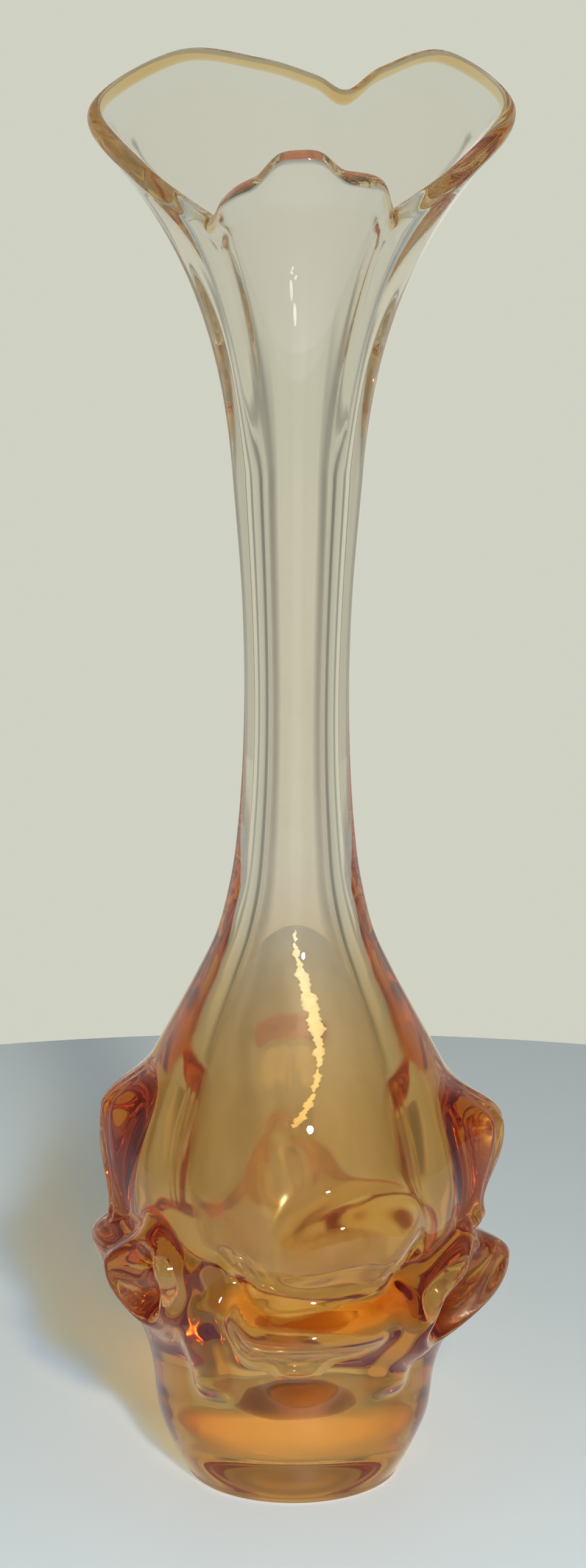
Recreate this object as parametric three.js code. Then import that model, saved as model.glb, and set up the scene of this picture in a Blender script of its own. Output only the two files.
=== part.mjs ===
// Hand-blown glass bud vase: a solid tapered foot, a thick hollow bulb with two tiers of pulled
// prunts, a drawn-out neck, and a flared mouth of three lobes with a notch between each pair.
// Millimetres, +Z up. The origin is the centre of the flat underside, and the low front lobe of
// the mouth faces -Y. The glass is one fused body on the real vase. Here each stage of the
// hot-working is its own solid, with a thin gap where the real stages run into each other.
import * as THREE from "three";

// Driving dimensions
const GAP = 0.3; // between neighbouring solids
const LEAN = 0.36; // degrees that the blown part leans towards +X from the foot
const ROUND = 40; // facets round the turned solids
const FOOT_FLAT = 18.2; // radius of the flat underside
const FOOT_EDGE = 0.9; // radius that rounds the underside's edge
const FOOT_TOP = 19; // height where the foot's wall meets the bulb
const FOOT_TOP_RADIUS = 24.8;
const DISH_BOTTOM = 11; // lowest point of the hollow in the foot's top that holds the bulb
// The foot and the bulb's bottom are less deep from front to back than they are wide: by this
// share, at full between the middle heights, and fading out to the low and the high one.
const SHALLOW = { share: 0.11, low: 1, full: 10, fades: 20, high: 28 };
const BULB_TOP = 104;
const NECK_TOP = 180;
const NECK_TOP_RADIUS = 11.2;
const WALL_AT_NECK_TOP = 5.2;
const RIM_THICKNESS = 3.4;
// The flare's curve: how far out and how far up its two middle handles are, as shares of the way
// from the neck's top to the rim.
const LOW_HANDLE = { out: 0.07, up: 0.34 };
const HIGH_HANDLE = { out: 0.3, up: 0.7 };

const round = THREE.MathUtils.degToRad;
const point = (radius, height) => new THREE.Vector2(radius, height);
const smooth = (points, steps) => new THREE.SplineCurve(points).getPoints(steps);

// Outlines as radius and height, from low to high.
const FOOT_WALL = [
  point(FOOT_FLAT + FOOT_EDGE, FOOT_EDGE),
  point(21.8, 6),
  point(24, 12),
  point(FOOT_TOP_RADIUS, FOOT_TOP),
];
const BULB_WALL = [
  point(FOOT_TOP_RADIUS, FOOT_TOP + GAP),
  point(25.5, 28),
  point(26.4, 38),
  point(28.7, 47),
  point(30.3, 56),
  point(29.7, 65),
  point(26.9, 74),
  point(21.4, 84),
  point(16.2, 94),
  point(12.5, BULB_TOP),
];
const CAVITY = [
  point(0, 19.5),
  point(5, 21.6),
  point(7.2, 27),
  point(10.2, 33.5),
  point(15.6, 42.5),
  point(18.9, 53.5),
  point(18.7, 62.5),
  point(15.9, 75),
  point(12.2, 86.5),
  point(8.8, 96.5),
  point(6.9, BULB_TOP),
];
const NECK_WALL = [
  point(12.5, BULB_TOP + GAP),
  point(10.6, 114),
  point(9.5, 127),
  point(9.1, 142),
  point(9.6, 160),
  point(NECK_TOP_RADIUS, NECK_TOP),
];
const BORE = [
  point(6.9, BULB_TOP + GAP),
  point(5.3, 120),
  point(4.9, 132),
  point(4.9, 145),
  point(5.3, 161),
  point(NECK_TOP_RADIUS - WALL_AT_NECK_TOP, NECK_TOP),
];

// The middle of the mouth's rim: angle from +X in degrees, radius and height. It rises to a broad
// lobe at the back on each side and to a lower one in front, and dips into a notch between them.
const RIM = [
  [-38, 19.5, 224],
  [-16, 29, 232.5],
  [10, 35.2, 241],
  [40, 32.4, 248.3],
  [58, 27.2, 245.6],
  [70, 23.8, 241.6],
  [84, 26, 244],
  [104, 28.8, 246.8],
  [130, 32.5, 248.2],
  [170, 34.4, 240.6],
  [194, 27.5, 231.5],
  [213, 18.6, 223.6],
  [224, 18.6, 223.6],
  [240, 23.4, 226.6],
  [256, 27.2, 229],
  [270, 28.4, 231.6],
  [287, 27.2, 229.2],
  [302, 23.4, 227.6],
];

// Prunts: angle from +X in degrees, height of the middle, reach out of the bulb's wall, half
// width, and half height below and above the middle.
const UPPER_PRUNTS = {
  right: { angle: -6, height: 59, reach: 5.6, width: 7.6, below: 10.8, above: 15 },
  back: { angle: 93, height: 59, reach: 3.8, width: 8.2, below: 10.8, above: 16 },
  left: { angle: 186, height: 59, reach: 3.4, width: 7.8, below: 10.8, above: 16 },
  front: { angle: -70, height: 51, reach: 4, width: 12.5, below: 9.4, above: 10 },
};
const LOWER_PRUNTS = {
  right: { angle: -14, height: 39, reach: 10.4, width: 12.5, below: 11.5, above: 8.6 },
  back: { angle: 92, height: 39, reach: 7.4, width: 10.5, below: 11, above: 8.6 },
  left: { angle: 203, height: 40, reach: 8.2, width: 12, below: 12, above: 7.6 },
  front: { angle: -84, height: 34.5, reach: 7.2, width: 11, below: 7, above: 6.4 },
};
const DIMPLE = 0.34; // depth of the hollow in a lower prunt, as a share of its reach
const DIMPLE_SPREAD = 0.42; // width of that hollow, as a share of the prunt's

function glass(color, opacity) {
  return new THREE.MeshStandardMaterial({
    color,
    roughness: 0.04,
    metalness: 0,
    transparent: true,
    opacity,
  });
}
const AMBER = glass(0xc98a35, 0.7);
const HONEY = glass(0xd9a75a, 0.55);
const CLEAR = glass(0xe9e4cf, 0.35);

function named(name, geometry, material) {
  const mesh = new THREE.Mesh(geometry, material);
  mesh.name = name;
  return mesh;
}

// A solid of revolution about Z from a profile that runs anticlockwise in radius and height.
function turned(profile) {
  return new THREE.LatheGeometry(profile, ROUND).rotateX(Math.PI / 2);
}

function shallower(geometry) {
  const places = geometry.getAttribute("position");
  for (let i = 0; i < places.count; i += 1) {
    const rise = THREE.MathUtils.smoothstep(places.getZ(i), SHALLOW.low, SHALLOW.full);
    const fade = THREE.MathUtils.smoothstep(places.getZ(i), SHALLOW.fades, SHALLOW.high);
    places.setY(i, places.getY(i) * (1 - SHALLOW.share * rise * (1 - fade)));
  }
  return geometry;
}

// The foot's top is a shallow dish, and the bulb's underside is the same dish a gap higher.
function dish(lift, steps) {
  const depth = FOOT_TOP - DISH_BOTTOM;
  return Array.from({ length: steps + 1 }, (_, i) => {
    const share = i / steps;
    return point(share * FOOT_TOP_RADIUS, DISH_BOTTOM + lift + depth * share ** 2);
  });
}

function foot() {
  const edgeSteps = 3;
  const edge = Array.from({ length: edgeSteps }, (_, i) => {
    const turn = (i / edgeSteps) * (Math.PI / 2);
    return point(FOOT_FLAT + FOOT_EDGE * Math.sin(turn), FOOT_EDGE * (1 - Math.cos(turn)));
  });
  const profile = [point(0, 0), ...edge, ...smooth(FOOT_WALL, 7), ...dish(0, 5).reverse().slice(1)];
  return shallower(turned(profile));
}

function bulb() {
  const inside = smooth(CAVITY, 20).reverse();
  const profile = [...dish(GAP, 5), ...smooth(BULB_WALL, 27).slice(1), ...inside];
  profile[profile.length - 1].x = 0;
  return shallower(turned(profile));
}

function neck() {
  const outside = smooth(NECK_WALL, 11);
  const profile = [...outside, ...smooth(BORE, 11).reverse(), outside[0].clone()];
  return turned(profile);
}

// A closed surface from rings of points: neighbouring rings are joined, and so are the last ring
// and the first when the rings go all the way round a tube's section.
function skin(rings, closeSection) {
  const around = rings[0].length;
  const joins = closeSection ? rings.length : rings.length - 1;
  const index = [];
  for (let i = 0; i < joins; i += 1) {
    const low = i * around;
    const high = ((i + 1) % rings.length) * around;
    for (let j = 0; j < around; j += 1) {
      const k = (j + 1) % around;
      index.push(low + j, low + k, high + k);
      index.push(low + j, high + k, high + j);
    }
  }
  return { places: rings.flat().flatMap((p) => [p.x, p.y, p.z]), index };
}

function geometryOf({ places, index }) {
  const geometry = new THREE.BufferGeometry();
  geometry.setAttribute("position", new THREE.Float32BufferAttribute(places, 3));
  geometry.setIndex(index);
  geometry.computeVertexNormals();
  return geometry;
}

// The rim's middle as a closed curve: it runs through RIM once round the vase.
const rimCurve = new THREE.CatmullRomCurve3(
  RIM.map(([angle, radius, height]) => {
    const turn = round(angle);
    return new THREE.Vector3(radius * Math.cos(turn), radius * Math.sin(turn), height);
  }),
  true,
);

// The mouth's wall above one point of the rim, as a curve of its middle from the neck's top to
// the rim: upright where it leaves the neck, and leaning outwards with the flare at the rim.
function flare(rimRadius, rimHeight) {
  const start = point(NECK_TOP_RADIUS - WALL_AT_NECK_TOP / 2, NECK_TOP + GAP);
  const rise = rimHeight - start.y;
  const spread = rimRadius - start.x;
  return new THREE.CubicBezierCurve(
    start,
    point(start.x + LOW_HANDLE.out * spread, start.y + LOW_HANDLE.up * rise),
    point(start.x + HIGH_HANDLE.out * spread, start.y + HIGH_HANDLE.up * rise),
    point(rimRadius, rimHeight),
  );
}

function mouth() {
  const columns = 56;
  const wallSteps = 9;
  const rimSteps = 4;
  const sections = Array.from({ length: columns }, (_, j) => {
    const rim = rimCurve.getPointAt(j / columns);
    const radius = Math.hypot(rim.x, rim.y);
    const curve = flare(radius, rim.z);
    const offset = (share, side) => {
      const middle = curve.getPoint(share);
      const along = curve.getTangent(share);
      const half = THREE.MathUtils.lerp(WALL_AT_NECK_TOP, RIM_THICKNESS, share) / 2;
      return point(middle.x + side * half * along.y, middle.y - side * half * along.x);
    };
    const shares = Array.from({ length: wallSteps }, (_, i) => i / wallSteps);
    const outside = shares.map((share) => offset(share, 1));
    const inside = shares.map((share) => offset(share, -1)).reverse();
    const end = curve.getTangent(1);
    const lip = Array.from({ length: rimSteps + 1 }, (_, i) => {
      const turn = (i / rimSteps) * Math.PI;
      const across = (Math.cos(turn) * RIM_THICKNESS) / 2;
      const beyond = (Math.sin(turn) * RIM_THICKNESS) / 2;
      return point(
        radius + across * end.y + beyond * end.x,
        rim.z - across * end.x + beyond * end.y,
      );
    });
    outside[0].y = NECK_TOP + GAP;
    inside[inside.length - 1].y = NECK_TOP + GAP;
    const direction = new THREE.Vector3(rim.x / radius, rim.y / radius, 0);
    return [...outside, ...lip, ...inside].map((p) =>
      direction.clone().multiplyScalar(p.x).setZ(p.y),
    );
  });
  const rings = sections[0].map((_, i) => sections.map((section) => section[i]));
  return geometryOf(skin(rings, true));
}

function bulbRadius(height) {
  const upper = BULB_WALL.findIndex((p) => p.y > height);
  const [a, b] = [BULB_WALL[upper - 1], BULB_WALL[upper]];
  const before = BULB_WALL[upper - 2] ?? a;
  const after = BULB_WALL[upper + 1] ?? b;
  const span = b.y - a.y;
  const t = (height - a.y) / span;
  const slopeA = ((b.x - before.x) / (b.y - before.y)) * span;
  const slopeB = ((after.x - a.x) / (after.y - a.y)) * span;
  return (
    a.x * (2 * t ** 3 - 3 * t ** 2 + 1) +
    slopeA * (t ** 3 - 2 * t ** 2 + t) +
    b.x * (3 * t ** 2 - 2 * t ** 3) +
    slopeB * (t ** 3 - t ** 2)
  );
}

// A prunt is a blob on the bulb's wall: its back follows the wall a gap away, and its front swells
// out to its reach. Rings of points run from its middle to its edge on the back, and back again
// on the front.
function prunt({ angle, height, reach, width, below, above }, dimple) {
  const rings = 6;
  const around = 20;
  const place = (share, turn, out) => {
    const rise = share * Math.sin(turn) * (Math.sin(turn) > 0 ? above : below);
    const z = height + rise;
    const radius = bulbRadius(z) + GAP;
    const bearing = round(angle) + (share * width * Math.cos(turn)) / radius;
    const swell = Math.sqrt(Math.max(0, 1 - share ** 4));
    const hollow = dimple * Math.exp(-((share / DIMPLE_SPREAD) ** 2));
    const r = radius + out * reach * (swell - hollow);
    return new THREE.Vector3(r * Math.cos(bearing), r * Math.sin(bearing), z);
  };
  const ring = (share, out) =>
    Array.from({ length: around }, (_, j) => place(share, (j / around) * 2 * Math.PI, out));
  const shares = Array.from({ length: rings }, (_, i) => Math.sin(((i + 1) / rings) * (Math.PI / 2)));
  const back = shares.slice(0, -1).map((share) => ring(share, 0));
  const front = shares.map((share) => ring(share, 1)).reverse();
  const { places, index } = skin([...back, ...front], false);
  const tips = [place(0, 0, 0), place(0, 0, 1)];
  const backTip = places.length / 3;
  const lastRing = backTip - around;
  for (let j = 0; j < around; j += 1) {
    const k = (j + 1) % around;
    index.push(backTip, k, j);
    index.push(backTip + 1, lastRing + j, lastRing + k);
  }
  return geometryOf({ places: [...places, ...tips.flatMap((p) => [p.x, p.y, p.z])], index });
}

// The foot stands flat, and everything blown above it shares one slight lean.
const vase = new THREE.Group();
const blown = new THREE.Group();
blown.rotation.y = round(LEAN);
vase.add(named("foot", foot(), AMBER), blown);
blown.add(named("bulb", bulb(), HONEY));
blown.add(named("neck", neck(), CLEAR));
blown.add(named("mouth", mouth(), CLEAR));
for (const [side, shape] of Object.entries(UPPER_PRUNTS)) {
  blown.add(named(`upper_prunt_${side}`, prunt(shape, 0), HONEY));
}
for (const [side, shape] of Object.entries(LOWER_PRUNTS)) {
  blown.add(named(`lower_prunt_${side}`, prunt(shape, DIMPLE), AMBER));
}

export default vase;
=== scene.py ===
"""Looks of the hand-blown amber bud vase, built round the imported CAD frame. Metres, +Z up.

The real vase is one fused body of glass, so one continuous glass surface replaces the CAD solids:
foot, bulb with its pulled knobs, neck, lobed mouth and the cavity inside. Three bodies of amber lie
inside the glass, and a film and a dried run of limescale lie on the cavity's wall.

The glass surface is a grid. A column stands at each bearing round the vase, and the rows follow one
another from the middle of the underside, up the outside, over the rim and down the inside.
Bearings are in degrees, anticlockwise from +X as seen from above. Heights, radii and widths are in
millimetres, which MM turns into metres. The frame fixes the overall sizes.
"""

import math

import bpy
import numpy as np
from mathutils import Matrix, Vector


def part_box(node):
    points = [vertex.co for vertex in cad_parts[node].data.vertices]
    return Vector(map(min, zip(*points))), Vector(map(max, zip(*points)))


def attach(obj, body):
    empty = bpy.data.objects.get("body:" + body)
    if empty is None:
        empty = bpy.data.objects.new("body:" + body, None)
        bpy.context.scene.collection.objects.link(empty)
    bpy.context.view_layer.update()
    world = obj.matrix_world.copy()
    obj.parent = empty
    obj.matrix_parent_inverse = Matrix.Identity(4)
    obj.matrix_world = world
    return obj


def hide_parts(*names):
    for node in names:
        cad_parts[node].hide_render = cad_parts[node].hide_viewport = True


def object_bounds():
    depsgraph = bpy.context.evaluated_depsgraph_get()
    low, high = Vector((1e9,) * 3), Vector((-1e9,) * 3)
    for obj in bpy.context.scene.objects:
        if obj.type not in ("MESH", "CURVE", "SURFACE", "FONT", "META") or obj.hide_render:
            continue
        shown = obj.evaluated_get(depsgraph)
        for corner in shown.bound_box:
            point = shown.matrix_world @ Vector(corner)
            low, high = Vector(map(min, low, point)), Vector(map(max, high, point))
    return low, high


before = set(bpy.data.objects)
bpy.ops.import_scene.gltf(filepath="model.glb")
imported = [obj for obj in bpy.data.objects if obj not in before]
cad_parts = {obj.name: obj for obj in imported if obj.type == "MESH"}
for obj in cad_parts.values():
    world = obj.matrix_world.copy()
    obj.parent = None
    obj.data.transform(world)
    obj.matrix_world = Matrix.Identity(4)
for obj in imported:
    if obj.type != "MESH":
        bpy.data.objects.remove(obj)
cad_low, cad_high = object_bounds()

MM = 0.001

# ---------------------------------------------------------------- sizes, from the frame
FOOT_LOW, FOOT_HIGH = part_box("foot")
NECK_LOW, NECK_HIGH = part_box("neck")
MOUTH_LOW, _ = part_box("mouth")
FOOT_TOP = FOOT_HIGH.z / MM
FOOT_RADIUS = (FOOT_HIGH.x - FOOT_LOW.x) / 2 / MM
NECK_TOP = MOUTH_LOW.z / MM
# How far the vase leans to the right for each millimetre of height.
LEAN = ((NECK_LOW.x + NECK_HIGH.x) / 2) / ((NECK_LOW.z + NECK_HIGH.z) / 2)

FLAT_RADIUS = 18.2
EDGE_RADIUS = 0.9
WALL_AT_NECK_TOP = 5.2
RIM_THICKNESS = 3.4

# How finely the surface is divided, and the smooth curves that its rows are taken from.
COLUMNS = 288
FLAT_ROWS = 7
EDGE_ROWS = 5
OUTSIDE_ROWS = 260
FLARE_ROWS = 70
LIP_ROWS = 13
INSIDE_ROWS = 190
CURVE_STEPS = 3000
RIM_STEPS = 4000

# Outlines as (radius, height), low to high.
OUTER = [
    (FLAT_RADIUS + EDGE_RADIUS, EDGE_RADIUS), (21.9, 6), (24.2, 12), (FOOT_RADIUS, FOOT_TOP),
    (25.2, 24), (25.6, 31), (25.8, 38), (26.6, 43), (28.9, 47.2), (30.3, 52), (30.7, 58),
    (30.0, 65), (27.9, 71.5), (24.4, 78.5), (20.6, 85.5), (16.9, 92.5), (13.9, 99),
    (12.0, 106), (10.6, 114), (9.5, 127), (9.1, 142), (9.6, 160), (11.2, NECK_TOP),
]
CAVITY = [
    (0, 19.5), (3.6, 20.1), (5.8, 22.4), (7.2, 27), (10.2, 33.5), (14.4, 40), (17.6, 47),
    (19.0, 54.5), (18.7, 62.5), (17.0, 71), (14.2, 80.5), (10.9, 90), (8.0, 99), (6.2, 108),
    (5.3, 120), (4.9, 132), (4.9, 145), (5.3, 161), (6, NECK_TOP),
]

# The middle of the rim: bearing, radius and height.
RIM = [
    (-38, 19.5, 224), (-16, 29, 232.5), (10, 35.2, 241), (40, 32.4, 248.3), (58, 27.2, 245.6),
    (70, 23.8, 241.6), (84, 26, 244), (104, 28.8, 246.8), (130, 32.5, 248.2), (170, 34.4, 240.6),
    (194, 27.5, 231.5), (213, 18.6, 223.6), (224, 18.6, 223.6), (238, 22.6, 226.8),
    (250, 26.2, 229.6), (262, 28.2, 231.2), (276, 28.4, 231.6), (290, 27.2, 231.2),
    (302, 24.6, 229.8), (312, 21.2, 226.4),
]
# The fold between the two high lobes: bearing, half width in radians, and how much farther out the
# wall below it stays.
FOLD = dict(angle=70, width=0.38, fill=5.0)
# The tab where the front lip was snipped off: bearing, half width in radians, rise, outward lean,
# and the share of the mouth's height where it starts.
TAB = dict(angle=270, width=0.20, rise=3.4, lean=0.6, start=0.88)
FRONT_LOBE_WIDTH = 0.72  # half of it, in radians
# The mouth's wall follows a Bezier curve from the neck to the rim. Its two inner points lie at
# these shares of the way out and of the way up.
FLARE_LOW = dict(out=0.07, up=0.34)
FLARE_HIGH = dict(out=0.30, up=0.70)
# A thin ridge inside the mouth, under the rim but not in front: its thickness, and its place and
# half width as shares of the mouth's height.
RIDGE = dict(thick=0.35, at=0.92, width=0.022)


# ---------------------------------------------------------------- curves
def catmull_rom(points, count, closed=False):
    """count places along a smooth curve through points, evenly spaced in the curve's own steps."""
    points = np.array(points, float)
    spans = len(points) if closed else len(points) - 1
    t = np.linspace(0, spans, count, endpoint=not closed)
    k = np.minimum(t.astype(int), spans - 1)
    f = (t - k)[:, None]
    if closed:
        p0, p1, p2, p3 = (points[(k + i) % len(points)] for i in (-1, 0, 1, 2))
    else:
        ends = np.vstack([2 * points[0] - points[1], points, 2 * points[-1] - points[-2]])
        p0, p1, p2, p3 = (ends[k + i] for i in (0, 1, 2, 3))
    return 0.5 * (
        2 * p1 + (p2 - p0) * f + (2 * p0 - 5 * p1 + 4 * p2 - p3) * f**2
        + (3 * p1 - p0 - 3 * p2 + p3) * f**3
    )


def evenly(curve, count):
    """count places at equal distances along a polyline."""
    steps = np.r_[0, np.cumsum(np.linalg.norm(np.diff(curve, axis=0), axis=1))]
    at = np.linspace(0, steps[-1], count)
    return np.column_stack([np.interp(at, steps, axis) for axis in curve.T])


def smooth_rows(points, count, steps=CURVE_STEPS):
    """count places at equal distances along a smooth curve through points."""
    return evenly(catmull_rom(points, steps), count)


def step(edge0, edge1, x):
    """0 below edge0 and 1 above edge1, with a smooth rise between."""
    t = np.clip((x - edge0) / (edge1 - edge0), 0, 1)
    return t * t * t * (t * (6 * t - 15) + 10)


def around(angle, degrees):
    """Signed turn in radians from a bearing in degrees."""
    return (angle - math.radians(degrees) + math.pi) % (2 * math.pi) - math.pi


def rim_columns():
    """Angle in radians, radius and height of the rim's middle, one of each for every column."""
    places = []
    for degrees, radius, height in RIM:
        turn = math.radians(degrees)
        places.append((radius * math.cos(turn), radius * math.sin(turn), height))
    curve = catmull_rom(places, RIM_STEPS, closed=True)
    curve = evenly(np.vstack([curve, curve[:1]]), COLUMNS + 1)[:-1]
    angle = np.unwrap(np.arctan2(curve[:, 1], curve[:, 0]))
    angle = np.maximum.accumulate(angle + np.arange(COLUMNS) * 1e-6)  # never turns back
    return angle, np.hypot(curve[:, 0], curve[:, 1]), curve[:, 2]


# ---------------------------------------------------------------- knobs
# Upper tier: an upright fin on each side, pulled out to a nearly flat outer edge. Bearing, radius
# of the outer edge low and high, half width, and height of the edge's top.
FINS = [
    dict(angle=-6, low=33.2, high=36.4, width=6.0, top=66.5),
    dict(angle=93, low=32.4, high=34.2, width=7.0, top=68.0),
    dict(angle=186, low=32.6, high=33.9, width=6.4, top=69.0),
]
FIN_LOW = 48.0
# How far above its top and below its bottom a fin fades out, and how far inside them it starts to.
FIN_FADE = dict(above=8.5, below=3.5, inside=1.5)
# A fin's width at its bottom, and what it gains up to its top, as shares of its half width.
FIN_WIDTH_LOW, FIN_WIDTH_GAIN = 0.75, 0.5
# The grooves in a fin's outer edge: depth, and radians per millimetre across and up.
GROOVES = [(0.55, 2.1, 0.12), (0.3, 1.1, -0.2)]
GROOVED_WIDTH = 3.2  # half of it
# The front knob: bearing, height, reach, half width and half height.
NOSE = dict(angle=-70, height=50.0, reach=5.2, width=12.5, rise=10.0)
NOSE_SHARPNESS = 2.4
# Lower tier: a wavy collar round the bulb's bottom, pulled out into ears and, in front, a ledge.
# Bearing, height of the collar's edge, its reach, and its fall below the edge.
COLLAR = [
    (-104, 35.0, 6.2, 4.5), (-85, 34.6, 7.6, 4.0), (-64, 35.2, 6.6, 4.5), (-46, 38.0, 3.8, 8.0),
    (-28, 39.5, 6.6, 10.5), (-8, 39.8, 9.8, 11.5), (14, 39.4, 8.0, 11.5), (45, 37.0, 2.0, 11.0),
    (78, 41.0, 7.5, 11.0), (104, 41.0, 7.5, 11.0), (140, 37.0, 2.0, 11.0), (176, 42.6, 8.4, 12.0),
    (196, 43.0, 8.6, 12.0), (218, 42.5, 5.4, 11.0), (236, 42.0, 3.8, 9.0), (246, 38.5, 3.4, 6.0),
]
COLLAR_HEIGHT, COLLAR_REACH, COLLAR_FALL = 1, 2, 3  # columns of the table
COLLAR_ABOVE = 4.8  # its fall above the edge
# Where the two tiers overlap, the smaller one adds this share of its reach.
OVERLAP = 0.25
# Upright ribs that run from the collar down into the foot: bearing, reach and half width.
RIBS = [(-126, 2.6, 3.8), (-47, 2.4, 4.0), (38, 1.8, 4.2), (146, 1.8, 4.2)]
# The heights between which a rib rises at its bottom and fades at its top.
RIB_BOTTOM = (18, 23.5)
RIB_TOP = (44, 34)
# Ears: a rolled ring round a hollow. Bearing, height, tilt from level in degrees, half length and
# half breadth of the ring, how far it stands out, and the hollow's depth.
EARS = [
    dict(angle=217, height=41.5, tilt=84, length=7.6, breadth=4.6, reach=3.4, depth=4.6),
    dict(angle=-24, height=37.5, tilt=34, length=11.0, breadth=5.2, reach=2.8, depth=5.6),
    dict(angle=95, height=40.5, tilt=60, length=7.0, breadth=5.0, reach=2.6, depth=4.2),
]
# How thick the ring and how wide the hollow is, as shares of the ring's own half size.
EAR_RING = 0.42
EAR_HOLLOW = 0.78
# The foot is less deep from front to back than it is wide: how far, and between which heights.
SHALLOW = dict(by=2.8, low=1.0, full=10.0, fades=22.0, high=32.0)
# Dimples pressed into the glass: bearing, height, half width, half height and depth.
DIMPLES = [
    dict(angle=-72, height=43.8, width=7.5, rise=4.0, depth=2.4),
    dict(angle=-86, height=26.5, width=8.5, rise=5.6, depth=2.4),
    dict(angle=-50, height=46.5, width=4.0, rise=5.0, depth=3.0),
    dict(angle=-113, height=44.0, width=3.6, rise=5.0, depth=2.6),
]
DIMPLE_SHARPNESS = 1.6


def collar_value(angle, column):
    """A smooth value round the vase through the points in one column of COLLAR."""
    table = sorted((math.radians(row[0]) % (2 * math.pi), row[column]) for row in COLLAR)
    at = np.array([t for t, _ in table])
    value = np.array([v for _, v in table])
    at = np.r_[at - 2 * math.pi, at, at + 2 * math.pi]
    value = np.tile(value, 3)
    turn = np.mod(angle, 2 * math.pi)
    k = np.searchsorted(at, turn, side="right") - 1
    f = (turn - at[k]) / (at[k + 1] - at[k])
    slope = (value[2:] - value[:-2]) / (at[2:] - at[:-2])
    slope = np.r_[0, slope, 0]
    span = at[k + 1] - at[k]
    return (
        value[k] * (2 * f**3 - 3 * f**2 + 1) + slope[k] * span * (f**3 - 2 * f**2 + f)
        + value[k + 1] * (3 * f**2 - 2 * f**3) + slope[k + 1] * span * (f**3 - f**2)
    )


def oval(angle, radius, height, spot, sharpness):
    """1 in the middle of an oval spot on the wall and 0 away from it."""
    u = around(angle, spot["angle"]) * radius / spot["width"]
    v = (height - spot["height"]) / spot["rise"]
    return np.exp(-((u**2 + v**2) ** sharpness))


def fin_push(angle, radius, height):
    """The upright fins of the upper tier."""
    out = np.zeros_like(height)
    for fin in FINS:
        u = around(angle, fin["angle"]) * radius
        low, top = FIN_LOW, fin["top"]
        share = step(low, top, height)
        edge = fin["low"] + (fin["high"] - fin["low"]) * share
        upright = step(top + FIN_FADE["above"], top - FIN_FADE["inside"], height) * step(
            low - FIN_FADE["below"], low + FIN_FADE["inside"], height
        )
        width = fin["width"] * (FIN_WIDTH_LOW + FIN_WIDTH_GAIN * share)
        grooves = sum(deep * np.cos(u * across + height * up) for deep, across, up in GROOVES)
        pull = np.maximum(edge - radius, 0) + grooves * np.exp(-((u / GROOVED_WIDTH) ** 4))
        out += pull * upright * np.exp(-np.abs(u / width) ** 3)
    return out


def collar_push(angle, height):
    """The wavy collar of the lower tier."""
    edge = collar_value(angle, COLLAR_HEIGHT)
    above = np.exp(-np.abs((height - edge) / COLLAR_ABOVE) ** 3)
    below = np.exp(-np.abs((height - edge) / collar_value(angle, COLLAR_FALL)) ** 2)
    return collar_value(angle, COLLAR_REACH) * np.where(height > edge, above, below)


def rib_push(angle, radius, height):
    """The ribs from the collar down into the foot."""
    upright = step(*RIB_BOTTOM, height) * step(*RIB_TOP, height)
    out = np.zeros_like(height)
    for degrees, reach, width in RIBS:
        u = around(angle, degrees) * radius / width
        out += reach * np.exp(-np.abs(u) ** 3) * upright
    return out


def ear_push(angle, radius, height):
    """The rolled rings of the ears, and the hollows inside them."""
    out = np.zeros_like(height)
    for ear in EARS:
        u = around(angle, ear["angle"]) * radius
        v = height - ear["height"]
        turn = math.radians(ear["tilt"])
        p = (u * math.cos(turn) + v * math.sin(turn)) / ear["length"]
        q = (v * math.cos(turn) - u * math.sin(turn)) / ear["breadth"]
        away = np.hypot(p, q)
        out += ear["reach"] * np.exp(-(((away - 1) / EAR_RING) ** 2))
        out -= ear["depth"] * np.exp(-((away / EAR_HOLLOW) ** 4))
    return out


def foot_shallows(angle, height):
    """How far the foot's wall lies inside a round foot, in front and at the back."""
    share = step(SHALLOW["low"], SHALLOW["full"], height)
    share = share * step(SHALLOW["high"], SHALLOW["fades"], height)
    return SHALLOW["by"] * np.sin(angle) ** 2 * share


def knob_push(angle, radius, height):
    """How far the wall is pushed out from OUTER, in millimetres, at each angle and height."""
    angle = angle + np.zeros_like(height)
    nose = NOSE["reach"] * oval(angle, radius, height, NOSE, NOSE_SHARPNESS)
    upper = fin_push(angle, radius, height) + nose
    lower = collar_push(angle, height)
    out = np.maximum(upper, lower) + OVERLAP * np.minimum(upper, lower)
    out += rib_push(angle, radius, height) + ear_push(angle, radius, height)
    out -= foot_shallows(angle, height)
    for dimple in DIMPLES:
        out -= dimple["depth"] * oval(angle, radius, height, dimple, DIMPLE_SHARPNESS)
    return out


# ---------------------------------------------------------------- rows of the glass surface
def front_lobe(angle):
    """1 at the low front lobe of the mouth and 0 away from it."""
    return np.exp(-((around(angle, TAB["angle"]) / FRONT_LOBE_WIDTH) ** 6))


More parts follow.
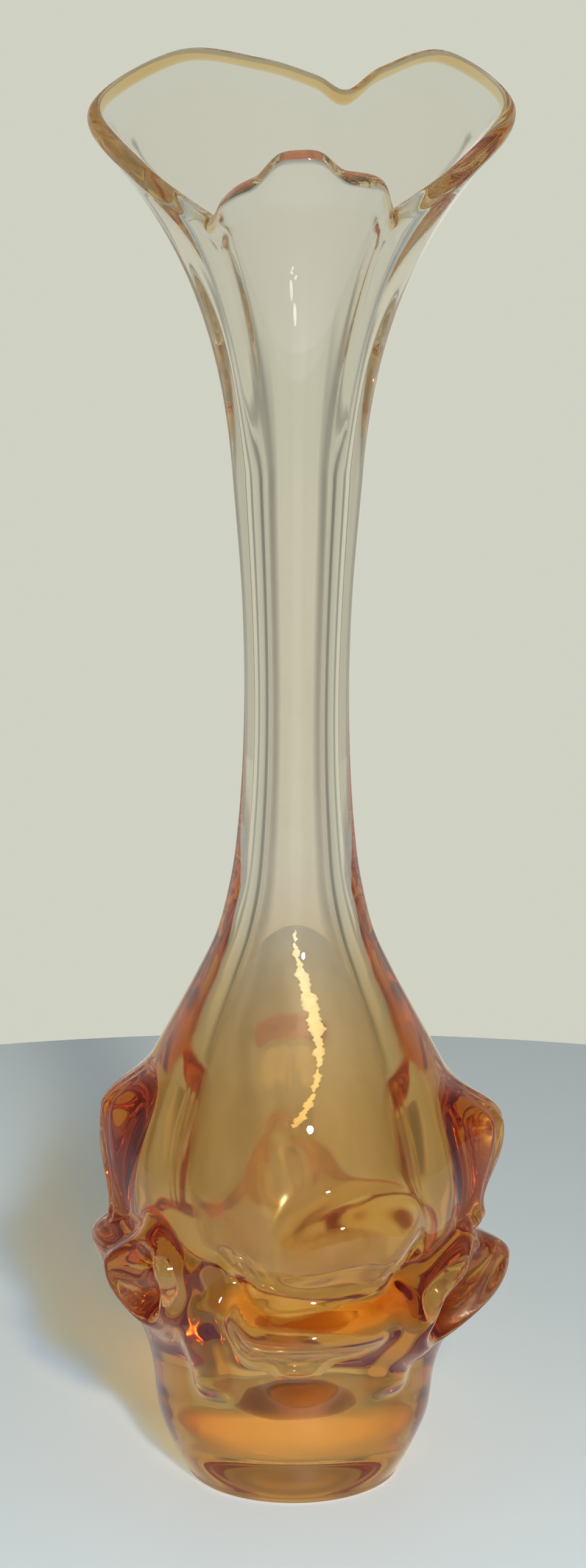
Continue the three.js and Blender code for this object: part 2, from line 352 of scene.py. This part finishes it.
def flare(rim):
    """Middle of the mouth's wall, the direction along it and across it, and half its thickness,
    from the neck to the rim, for each column. The fold at the back fades out down the wall."""
    angle, rim_radius, rim_height = rim
    start_radius, start_height = OUTER[-1][0] - WALL_AT_NECK_TOP / 2, NECK_TOP
    rise = rim_height - start_height
    spread = rim_radius - start_radius
    spread = spread + FOLD["fill"] * np.exp(-((around(angle, FOLD["angle"]) / FOLD["width"]) ** 2))
    p0 = np.column_stack([np.full_like(rise, start_radius), np.full_like(rise, start_height)])
    p1, p2 = (
        np.column_stack([start_radius + at["out"] * spread, start_height + at["up"] * rise])
        for at in (FLARE_LOW, FLARE_HIGH)
    )
    p3 = np.column_stack([rim_radius, rim_height])
    t = np.linspace(0, 1, FLARE_ROWS)[:, None, None]
    middle = (1 - t) ** 3 * p0 + 3 * t * (1 - t) ** 2 * p1 + 3 * t**2 * (1 - t) * p2 + t**3 * p3
    along = (1 - t) ** 2 * (p1 - p0) + 2 * t * (1 - t) * (p2 - p1) + t**2 * (p3 - p2)
    along /= np.linalg.norm(along, axis=2, keepdims=True)
    tab = step(TAB["start"], 1, t[..., 0]) * np.exp(
        -((around(angle, TAB["angle"]) / TAB["width"]) ** 4)
    )
    middle = middle + np.stack([tab * TAB["lean"], tab * TAB["rise"]], axis=2)
    across = np.stack([along[..., 1], -along[..., 0]], axis=2)
    half = (WALL_AT_NECK_TOP + (RIM_THICKNESS - WALL_AT_NECK_TOP) * t) / 2
    return middle, along, across, half


def ring_rows(outline):
    """Rows of (radius, height) that are the same in every column."""
    return np.array(outline)[:, None, :] * np.ones((1, COLUMNS, 1))


def underside(radius, edge, height):
    """Rows of (radius, height) across the flat underside and round its edge."""
    flat = [(r, height) for r in np.linspace(1, radius, FLAT_ROWS)]
    turns = np.linspace(0, math.pi / 2, EDGE_ROWS + 2)[1:-1]
    return flat + [(radius + edge * math.sin(a), height + edge * (1 - math.cos(a))) for a in turns]


def glass_rows(rim):
    """The glass surface as rows of (radius, height) for each column, and its first inside row."""
    angle = rim[0]
    wall = smooth_rows(OUTER, OUTSIDE_ROWS).tolist()
    outside = ring_rows(underside(FLAT_RADIUS, EDGE_RADIUS, 0.0) + wall)
    outside[..., 0] += knob_push(angle[None, :], outside[..., 0], outside[..., 1])
    middle, along, across, half = flare(rim)
    up = (middle + across * half)[1:-1]
    t = np.linspace(0, 1, FLARE_ROWS)[:, None, None]
    ridge = np.exp(-(((t - RIDGE["at"]) / RIDGE["width"]) ** 2))
    ridge = RIDGE["thick"] * (1 - front_lobe(angle))[None, :, None] * ridge
    down = (middle - across * (half + ridge))[1:-1][::-1]
    turn = np.linspace(0, math.pi, LIP_ROWS)[:, None, None]
    bead = RIM_THICKNESS / 2
    lip = middle[-1] + bead * (np.cos(turn) * across[-1] + np.sin(turn) * along[-1])
    inside = ring_rows(smooth_rows(CAVITY, INSIDE_ROWS)[1:][::-1])
    rows = np.concatenate([outside, up, lip, down, inside])
    return rows, len(rows) - len(inside)


# The amber gather lies between the clear casing outside and a clear gather inside. It fills the
# knobs, is thick round the foot, and is drawn up the neck and the mouth into a thin skin.
CORE_INSET = 0.2
CORE_EDGE = 1.4  # radius of the round at its underside
CORE_FIRST_ROW = 4  # of the outside, where that round ends
CORE_BELOW_RIM = 5  # rows of the mouth that it stops short of the rim
CLEAR_TIPS = 0.25  # share of each knob's reach that is clear
SKIN = 0.35
# The clear gather inside it, as (radius, height), low to high.
CLEAR_INSIDE = [
    (0, 2.6), (8, 3.2), (11.6, 7), (12.8, 14), (13.0, 24), (13.8, 32), (16.4, 40), (18.6, 47),
    (19.8, 54), (19.6, 62), (18.1, 71), (15.7, 80), (13.6, 88), (12.0, 95), (11.4, 101),
    (11.1, 107), (10.1, 114), (8.95, 127), (8.55, 142), (9.05, 160), (10.65, NECK_TOP),
]


def core_rows(rim):
    """The amber gather as rows of (radius, height) for each column, in the order of glass_rows."""
    outside = ring_rows(smooth_rows(OUTER, OUTSIDE_ROWS)[CORE_FIRST_ROW:])
    push = knob_push(rim[0][None, :], outside[..., 0], outside[..., 1])
    outside[..., 0] += push - CLEAR_TIPS * np.maximum(push, 0) - CORE_INSET
    foot = ring_rows(underside(FLAT_RADIUS, CORE_EDGE, CORE_INSET))
    middle, _, across, half = (part[1:-CORE_BELOW_RIM] for part in flare(rim))
    up = middle + across * (half - CORE_INSET)
    down = (middle + across * (half - CORE_INSET - SKIN))[::-1]
    inside = ring_rows(smooth_rows(CLEAR_INSIDE, INSIDE_ROWS)[1:][::-1])
    return np.concatenate([foot, outside, up, down, inside])


# ---------------------------------------------------------------- meshes
def leaning(rows, angle):
    """Places in metres from rows of (radius, height) and angles, with the vase's lean."""
    x = rows[..., 0] * np.cos(angle) + LEAN * rows[..., 1]
    y = rows[..., 0] * np.sin(angle)
    z = np.broadcast_to(rows[..., 1], x.shape)
    return np.stack([x, y, z], axis=-1).reshape(-1, 3) * MM


def grid_faces(rows, columns, rows_closed=False, columns_closed=True):
    """The faces between neighbouring places of a grid, which closes on itself where it's said."""
    row = np.arange(rows if rows_closed else rows - 1)[:, None]
    column = np.arange(columns if columns_closed else columns - 1)
    low, high = row * columns, (row + 1) % rows * columns
    after = (column + 1) % columns
    faces = np.stack([low + column, low + after, high + after, high + column], axis=2)
    return faces.reshape(-1, 4).tolist()


def mesh_object(name, places, faces):
    """A smooth-shaded object from places in metres and faces."""
    mesh = bpy.data.meshes.new(name)
    mesh.from_pydata(places.tolist(), [], faces)
    mesh.polygons.foreach_set("use_smooth", [True] * len(mesh.polygons))
    mesh.update()
    made = bpy.data.objects.new(name, mesh)
    bpy.context.scene.collection.objects.link(made)
    return made


def closed_body(name, angle, rows, bottom, top):
    """A closed mesh from rows of (radius, height) for each column. A middle point closes each end:
    the first row's at the height bottom, and the last row's at the height top."""
    ends = np.array([(0, bottom), (0, top)])
    places = np.vstack([leaning(rows, angle), leaning(ends, np.zeros(2))])
    faces = grid_faces(len(rows), COLUMNS)
    first_end, last_end = len(rows) * COLUMNS, len(rows) * COLUMNS + 1
    last_row = (len(rows) - 1) * COLUMNS
    pairs = [(column, (column + 1) % COLUMNS) for column in range(COLUMNS)]
    faces += [(first_end, b, a) for a, b in pairs]
    faces += [(last_end, last_row + a, last_row + b) for a, b in pairs]
    return mesh_object(name, places, faces)


def cavity_radius(height):
    """The cavity's radius at a height."""
    cavity = catmull_rom(CAVITY, CURVE_STEPS)
    return np.interp(height, cavity[:, 1], cavity[:, 0])


def inside_sheet(name, angles, heights, gap):
    """An open sheet that follows the cavity's wall. angles[i][j] is the angle in row i."""
    rows = np.column_stack([cavity_radius(heights) - gap, heights])
    faces = grid_faces(*angles.shape, columns_closed=False)
    sheet = mesh_object(name, leaning(rows[:, None, :], angles), faces)
    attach(sheet, "root")
    return sheet


# ---------------------------------------------------------------- materials
def new_material(name):
    """An empty node material, with its nodes, its links and its output."""
    material = bpy.data.materials.new(name)
    material.use_nodes = True
    nodes = material.node_tree.nodes
    nodes.clear()
    return material, nodes, material.node_tree.links, nodes.new("ShaderNodeOutputMaterial")


def math_node(nodes, links, operation, *values):
    """A Math node on numbers or on other nodes' outputs."""
    made = nodes.new("ShaderNodeMath")
    made.operation = operation
    for socket, value in zip(made.inputs, values):
        if isinstance(value, (int, float)):
            socket.default_value = value
        else:
            links.new(value, socket)
    return made.outputs[0]


def color_ramp(nodes, stops):
    """A colour ramp with stops of (position from 0 to 1, colour), low to high."""
    ramp = nodes.new("ShaderNodeValToRGB")
    elements = ramp.color_ramp.elements
    for i, (position, color) in enumerate(stops):
        element = elements[i] if i < 2 else elements.new(position)
        element.position = position
        element.color = (*color, 1)
    return ramp


def height_ramp(nodes, links, stops):
    """A smooth colour ramp up the vase, with stops of (height in millimetres, colour)."""
    total = cad_high[2]
    ramp = color_ramp(nodes, [(height / (total / MM), color) for height, color in stops])
    ramp.color_ramp.interpolation = "B_SPLINE"
    place = nodes.new("ShaderNodeTexCoord")
    axes = nodes.new("ShaderNodeSeparateXYZ")
    links.new(place.outputs["Object"], axes.inputs[0])
    links.new(math_node(nodes, links, "DIVIDE", axes.outputs["Z"], total), ramp.inputs[0])
    return ramp


def mix_shaders(nodes, links, share, first, second):
    """A mix of two shaders, with the share of the second one from a node's output."""
    mix = nodes.new("ShaderNodeMixShader")
    for socket, source in zip(mix.inputs, (share, first.outputs[0], second.outputs[0])):
        links.new(source, socket)
    return mix


def let_lamps_through(nodes, links, surface, tints=None):
    """Mixes in a Transparent shader for shadow rays, so that the glass casts a soft shadow. The
    tints are stops over the height that colour the shadow."""
    clear = nodes.new("ShaderNodeBsdfTransparent")
    if tints:
        links.new(height_ramp(nodes, links, tints).outputs[0], clear.inputs["Color"])
    path = nodes.new("ShaderNodeLightPath")
    return mix_shaders(nodes, links, path.outputs["Is Shadow Ray"], surface, clear)


# What a millimetre of each glass absorbs of red, green and blue.
ABSORPTION = dict(
    vase_glass=(0.0012, 0.0030, 0.0070),
    amber_core=(0.0062, 0.0245, 0.067),
    amber_drop=(0.075, 0.12, 0.18),
    amber_thread=(0.045, 0.16, 0.42),
)
STRONGEST = 0.9  # the most absorbed colour's share of the volume's density


def absorb(nodes, links, out, per_mm):
    """Plain volume absorption, from one row of ABSORPTION."""
    volume = nodes.new("ShaderNodeVolumeAbsorption")
    density = max(per_mm) / STRONGEST / MM
    volume.inputs["Color"].default_value = (*(1 - k / MM / density for k in per_mm), 1)
    volume.inputs["Density"].default_value = density
    links.new(volume.outputs[0], out.inputs["Volume"])


GLASS_TINT = [
    (0, (0.97, 0.89, 0.71)), (58, (0.97, 0.89, 0.71)), (84, (0.975, 0.94, 0.87)),
    (108, (0.955, 0.94, 0.91)), (250, (0.945, 0.935, 0.91)),
]
SHADOW_TINT = [(0, (0.74, 0.84, 1.0)), (75, (0.74, 0.84, 1.0)), (115, (0.86, 0.87, 0.9))]


def glass_material():
    """Glass with a honey tint in the foot and bulb that fades to nearly clear in the neck. The
    mesh's haze attribute roughens the inside of the bulb, where limescale has etched it."""
    material, nodes, links, out = new_material("vase_glass")
    glass = nodes.new("ShaderNodeBsdfPrincipled")
    glass.inputs["Transmission Weight"].default_value = 1.0
    glass.inputs["IOR"].default_value = 1.5
    glass.inputs["Sheen Weight"].default_value = 0.12
    glass.inputs["Sheen Roughness"].default_value = 0.4
    glass.inputs["Sheen Tint"].default_value = (1.0, 0.9, 0.85, 1)
    etched = nodes.new("ShaderNodeAttribute")
    etched.attribute_name = "haze"
    links.new(etched.outputs["Fac"], glass.inputs["Roughness"])
    links.new(height_ramp(nodes, links, GLASS_TINT).outputs[0], glass.inputs["Base Color"])
    mix = let_lamps_through(nodes, links, glass, SHADOW_TINT)
    links.new(mix.outputs[0], out.inputs["Surface"])
    absorb(nodes, links, out, ABSORPTION["vase_glass"])
    return material


def amber_material(name):
    """Amber glass that bends no light, because clear glass of the same index surrounds it."""
    material, nodes, links, out = new_material(name)
    glass = nodes.new("ShaderNodeBsdfPrincipled")
    glass.inputs["Base Color"].default_value = (1, 1, 1, 1)
    glass.inputs["Transmission Weight"].default_value = 1.0
    glass.inputs["IOR"].default_value = 1.0
    glass.inputs["Roughness"].default_value = 0.0
    mix = let_lamps_through(nodes, links, glass)
    links.new(mix.outputs[0], out.inputs["Surface"])
    absorb(nodes, links, out, ABSORPTION[name])
    return material


# The film's cover by height, before the clouds thin it here and thicken it there.
FILM_COVER = [(0, 0.20), (76, 0.26), (95, 0.20), (112, 0.10), (150, 0.12), (176, 0.0)]
CLOUD_CONTRAST, CLOUD_OFFSET = 2.4, -0.2
CLOUD_STRETCH = (1, 1, 0.45)  # the clouds are drawn out upright


def haze_material():
    """A milky limescale film on the inside of the bulb, cloudy, thinner up the neck and gone near
    its top.
    """
    material, nodes, links, out = new_material("limescale_haze")
    film = nodes.new("ShaderNodeBsdfDiffuse")
    film.inputs["Color"].default_value = (0.235, 0.20, 0.165, 1)
    clear = nodes.new("ShaderNodeBsdfTransparent")
    place = nodes.new("ShaderNodeTexCoord")
    clouds = nodes.new("ShaderNodeTexNoise")
    clouds.inputs["Scale"].default_value = 90
    clouds.inputs["Detail"].default_value = 5
    drawn = nodes.new("ShaderNodeVectorMath")
    drawn.operation = "MULTIPLY"
    drawn.inputs[1].default_value = CLOUD_STRETCH
    links.new(place.outputs["Object"], drawn.inputs[0])
    links.new(drawn.outputs[0], clouds.inputs["Vector"])
    cover = height_ramp(nodes, links, [(height, (share,) * 3) for height, share in FILM_COVER])
    patchy = math_node(
        nodes, links, "MULTIPLY_ADD", clouds.outputs[0], CLOUD_CONTRAST, CLOUD_OFFSET
    )
    share = math_node(nodes, links, "MULTIPLY", cover.outputs[0], patchy)
    mix = mix_shaders(nodes, links, share, clear, film)
    links.new(mix.outputs[0], out.inputs["Surface"])
    return material


def run_material():
    """Dry limescale: matt, pale and grainy."""
    material, nodes, links, out = new_material("limescale")
    crust = nodes.new("ShaderNodeBsdfPrincipled")
    place = nodes.new("ShaderNodeTexCoord")
    grain = nodes.new("ShaderNodeTexNoise")
    grain.inputs["Scale"].default_value = 900
    links.new(place.outputs["Object"], grain.inputs["Vector"])
    ramp = color_ramp(nodes, [(0, (0.25, 0.20, 0.125)), (1, (0.38, 0.33, 0.24))])
    links.new(grain.outputs[0], ramp.inputs[0])
    links.new(ramp.outputs[0], crust.inputs["Base Color"])
    crust.inputs["Roughness"].default_value = 0.9
    links.new(crust.outputs[0], out.inputs["Surface"])
    return material


def shelf_material():
    """The shelf's pale grey-blue paint."""
    material, nodes, links, out = new_material("pale_shelf")
    paint = nodes.new("ShaderNodeBsdfPrincipled")
    paint.inputs["Base Color"].default_value = (0.61, 0.69, 0.71, 1)
    paint.inputs["Roughness"].default_value = 0.5
    paint.inputs["Specular IOR Level"].default_value = 0.25
    links.new(paint.outputs[0], out.inputs["Surface"])
    return material


# ---------------------------------------------------------------- pieces
# The etching inside the bulb: its roughness, and the heights where it is full and where it ends.
ETCHED = dict(roughness=0.12, full=84, ends=106)


def vase_glass(rim):
    """The glass of the whole vase."""
    rows, first_inside = glass_rows(rim)
    glass = closed_body("vase_glass", rim[0], rows, 0.0, CAVITY[0][1])
    glass.data.materials.append(glass_material())
    etched = ETCHED["roughness"] * step(ETCHED["ends"], ETCHED["full"], rows[..., 1])
    etched[:first_inside] = 0
    attribute = glass.data.attributes.new("haze", "FLOAT", "POINT")
    attribute.data.foreach_set("value", np.r_[etched.reshape(-1), 0, etched[-1, 0]])
    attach(glass, "root")
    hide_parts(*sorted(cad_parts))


def amber_core(rim):
    """The amber gather in the foot, the bulb and the knobs, and its skin up to the rim."""
    core = closed_body("amber_core", rim[0], core_rows(rim), CORE_INSET, CLEAR_INSIDE[0][1])
    core.data.materials.append(amber_material("amber_core"))
    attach(core, "root")


# The drop's outline as (radius, height), and the heights of the points that close its ends.
DROP = [
    (1.5, 12.1), (4.6, 12.6), (6.9, 13.7), (8.2, 15.1), (8.3, 16.2), (7.2, 17.4), (5.0, 18.4),
    (1.8, 18.9),
]
DROP_LOW, DROP_HIGH = 12.0, 19.0
DROP_ROWS, DROP_STEPS = 40, 400
DROP_BULGES = dict(reach=0.05, count=3, turn=1)  # reach as a share of the radius


def amber_drop(rim):
    """A darker drop of amber in the foot, just under the cavity."""
    angle = rim[0]
    rows = ring_rows(smooth_rows(DROP, DROP_ROWS, steps=DROP_STEPS))
    waves = np.cos(DROP_BULGES["count"] * angle + DROP_BULGES["turn"])
    rows[..., 0] *= 1 + DROP_BULGES["reach"] * waves
    drop = closed_body("amber_drop", angle, rows, DROP_LOW, DROP_HIGH)
    drop.data.materials.append(amber_material("amber_drop"))
    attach(drop, "root")


THREAD_RADIUS = 1.15
THREAD_SIDES = 12
# The thread is fuller at the fold in the back: by how much, and half width in radians.
THREAD_FULLER = dict(by=0.3, width=0.16)
# It is slimmer at the low front lobe and round both sides: the shares of its radius that it loses,
# and the sides' bearings and half width in radians.
THREAD_FRONT_LOSS = 0.93
THREAD_SIDE_LOSS = 0.45
THREAD_SLIM_SIDES = dict(angles=(-2, 190), width=0.5)


def rim_thread(rim):
    """A closed tube of amber inside the rim's bead."""
    angle = rim[0]
    middle, along, across, _ = flare(rim)
    fuller = np.exp(-((around(angle, FOLD["angle"]) / THREAD_FULLER["width"]) ** 2))
    sides = sum(
        np.exp(-((around(angle, degrees) / THREAD_SLIM_SIDES["width"]) ** 4))
        for degrees in THREAD_SLIM_SIDES["angles"]
    )
    slim = (1 - THREAD_FRONT_LOSS * front_lobe(angle)) * (1 - THREAD_SIDE_LOSS * sides)
    radius = ((THREAD_RADIUS + THREAD_FULLER["by"] * fuller) * slim)[None, :, None]
    turn = np.linspace(0, 2 * math.pi, THREAD_SIDES, endpoint=False)[:, None, None]
    rows = middle[-1] + radius * (np.cos(turn) * across[-1] + np.sin(turn) * along[-1])
    faces = grid_faces(THREAD_SIDES, COLUMNS, rows_closed=True)
    thread = mesh_object("rim_thread", leaning(rows, angle), faces)
    thread.data.materials.append(amber_material("amber_thread"))
    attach(thread, "root")


FILM = dict(low=20.5, high=178, rows=160, columns=145, gap=0.25)


def limescale_haze():
    """The milky film all round the cavity's wall."""
    heights = np.linspace(FILM["low"], FILM["high"], FILM["rows"])
    angles = np.tile(np.linspace(-math.pi, math.pi, FILM["columns"]), (FILM["rows"], 1))
    film = inside_sheet("limescale_haze", angles, heights, FILM["gap"])
    film.data.materials.append(haze_material())


# The dried run's middle, low to high: height and bearing.
RUN = [(68.5, -91), (70, -87), (74, -80), (80, -75), (86, -76), (92, -82), (98, -90), (101.5, -91)]
RUN_ROWS = 260
RUN_COLUMNS = 5
RUN_WIDTH, RUN_THINNEST = 0.8, 0.03  # half widths
RUN_TAPER = 0.4
RUN_GAP = 0.1
RUN_THICKNESS = 0.08
# Waves that make its edges ragged and its middle wander: size, and radians over its length with
# where they start.
RUN_EDGE_WAVES = [(0.315, 61, 0), (0.225, 143, 1), (0.18, 317, 2), (0.5, 11, 1)]
RUN_DRIFT_WAVES = [(0.12, 97, 0)]


def limescale_run():
    """The dried run of limescale on the front of the cavity's wall."""
    height, degrees = catmull_rom(RUN, RUN_ROWS).T
    share = np.linspace(0, 1, RUN_ROWS)
    ragged, drift = (
        sum(size * np.sin(share * turn + start) for size, turn, start in waves)
        for waves in (RUN_EDGE_WAVES, RUN_DRIFT_WAVES)
    )
    half_width = RUN_WIDTH * np.sin(share * math.pi) ** RUN_TAPER * (1 + ragged)
    half_turn = np.maximum(half_width, RUN_THINNEST) / cavity_radius(height)
    middle = np.radians(degrees) + drift / cavity_radius(height)
    across = np.linspace(-1, 1, RUN_COLUMNS)
    angles = middle[:, None] + across * half_turn[:, None]
    run = inside_sheet("limescale_run", angles, height, RUN_GAP)
    run.data.materials.append(run_material())
    crust = run.modifiers.new("crust", "SOLIDIFY")
    crust.thickness = RUN_THICKNESS * MM


rim = rim_columns()
vase_glass(rim)
amber_core(rim)
amber_drop(rim)
rim_thread(rim)
limescale_haze()
limescale_run()

# ---------------------------------------------------------------- stage, in metres
SHELF = dict(radius=0.272, thickness=0.01, sides=256, below=0.0001)


def shelf():
    """A round shelf just under the vase."""
    bpy.ops.mesh.primitive_cylinder_add(
        vertices=SHELF["sides"], radius=SHELF["radius"], depth=SHELF["thickness"],
        location=(0, 0, -SHELF["below"] - SHELF["thickness"] / 2),
    )
    disc = bpy.context.object
    disc.name = "shelf"
    disc.data.materials.append(shelf_material())


FLASH = dict(place=(0.13, -0.66, 0.42), aim=(0, 0, 0.12), size=0.05, power=7.5)


def flash():
    """A small, strong lamp above the camera and to its right."""
    data = bpy.data.lights.new("flash", "AREA")
    data.shape = "DISK"
    data.size = FLASH["size"]
    data.energy = FLASH["power"]
    light = bpy.data.objects.new("flash", data)
    light.location = FLASH["place"]
    aim = Vector(FLASH["aim"]) - Vector(FLASH["place"])
    light.rotation_euler = aim.to_track_quat("-Z", "Y").to_euler()
    bpy.context.scene.collection.objects.link(light)


# The room's colours, from straight down at -1 to straight up at 1.
ROOM = [
    (-1.0, (0.34, 0.38, 0.38)), (-0.42, (0.42, 0.46, 0.45)), (-0.34, (0.63, 0.64, 0.55)),
    (0.12, (0.63, 0.64, 0.55)), (0.40, (0.30, 0.30, 0.28)), (1.0, (0.30, 0.30, 0.30)),
]
# Darker upright strips: how many there are, the wave round the room that darkens it wherever it
# falls below 1, and how fast they fade upwards and downwards.
STRIPS = dict(count=8.0, swing=0.75, level=1.15, fade=-4.0)
# The walls to the sides are dimmer than those in front and behind.
WALLS = dict(swing=-0.17, level=0.83)


def room():
    """A cream room: bright all round at the height of the vase, with softly darker strips, dimmer
    walls to the sides, a dark ceiling, and the shelf's colour below."""
    scene = bpy.context.scene
    scene.world = bpy.data.worlds.new("room")
    scene.world.use_nodes = True
    nodes = scene.world.node_tree.nodes
    links = scene.world.node_tree.links

    def calc(operation, *values):
        return math_node(nodes, links, operation, *values)

    place = nodes.new("ShaderNodeTexCoord")
    axes = nodes.new("ShaderNodeSeparateXYZ")
    links.new(place.outputs["Generated"], axes.inputs[0])
    x, y, z = axes.outputs
    ramp = color_ramp(nodes, [((rise + 1) / 2, color) for rise, color in ROOM])
    links.new(calc("MULTIPLY_ADD", z, 0.5, 0.5), ramp.inputs[0])
    turn = calc("ARCTAN2", y, x)
    wave = calc("COSINE", calc("MULTIPLY", turn, STRIPS["count"]))
    swing = calc("MULTIPLY_ADD", wave, STRIPS["swing"], STRIPS["level"])
    dip = calc("SUBTRACT", 1.0, calc("MINIMUM", swing, 1.0))
    near_level = calc("MULTIPLY_ADD", calc("MULTIPLY", z, z), STRIPS["fade"], 1.0)
    strips = calc("SUBTRACT", 1.0, calc("MULTIPLY", dip, calc("MAXIMUM", near_level, 0.0)))
    to_side = calc("COSINE", calc("MULTIPLY", turn, 2.0))
    walls = calc("MULTIPLY_ADD", to_side, WALLS["swing"], WALLS["level"])
    links.new(ramp.outputs[0], nodes["Background"].inputs["Color"])
    links.new(calc("MULTIPLY", strips, walls), nodes["Background"].inputs["Strength"])


CAMERA = dict(place=(0, -0.6815, 0.283), down=13, view=22)  # the angles in degrees


def camera():
    """The photograph's viewing angle: slightly above the mouth, looking down."""
    data = bpy.data.cameras.new("camera")
    data.angle = math.radians(CAMERA["view"])
    made = bpy.data.objects.new("camera", data)
    made.location = CAMERA["place"]
    made.rotation_euler = (math.radians(90 - CAMERA["down"]), 0, 0)
    bpy.context.scene.collection.objects.link(made)
    bpy.context.scene.camera = made


LIGHT_BOUNCES = 64  # enough for light to get through all the nested glass

shelf()
room()
camera()
flash()
bpy.context.scene.view_settings.view_transform = "Standard"
bpy.context.scene.cycles.transparent_max_bounces = 16
bpy.context.scene.cycles.transmission_bounces = LIGHT_BOUNCES
bpy.context.scene.cycles.glossy_bounces = LIGHT_BOUNCES
bpy.context.scene.cycles.max_bounces = LIGHT_BOUNCES
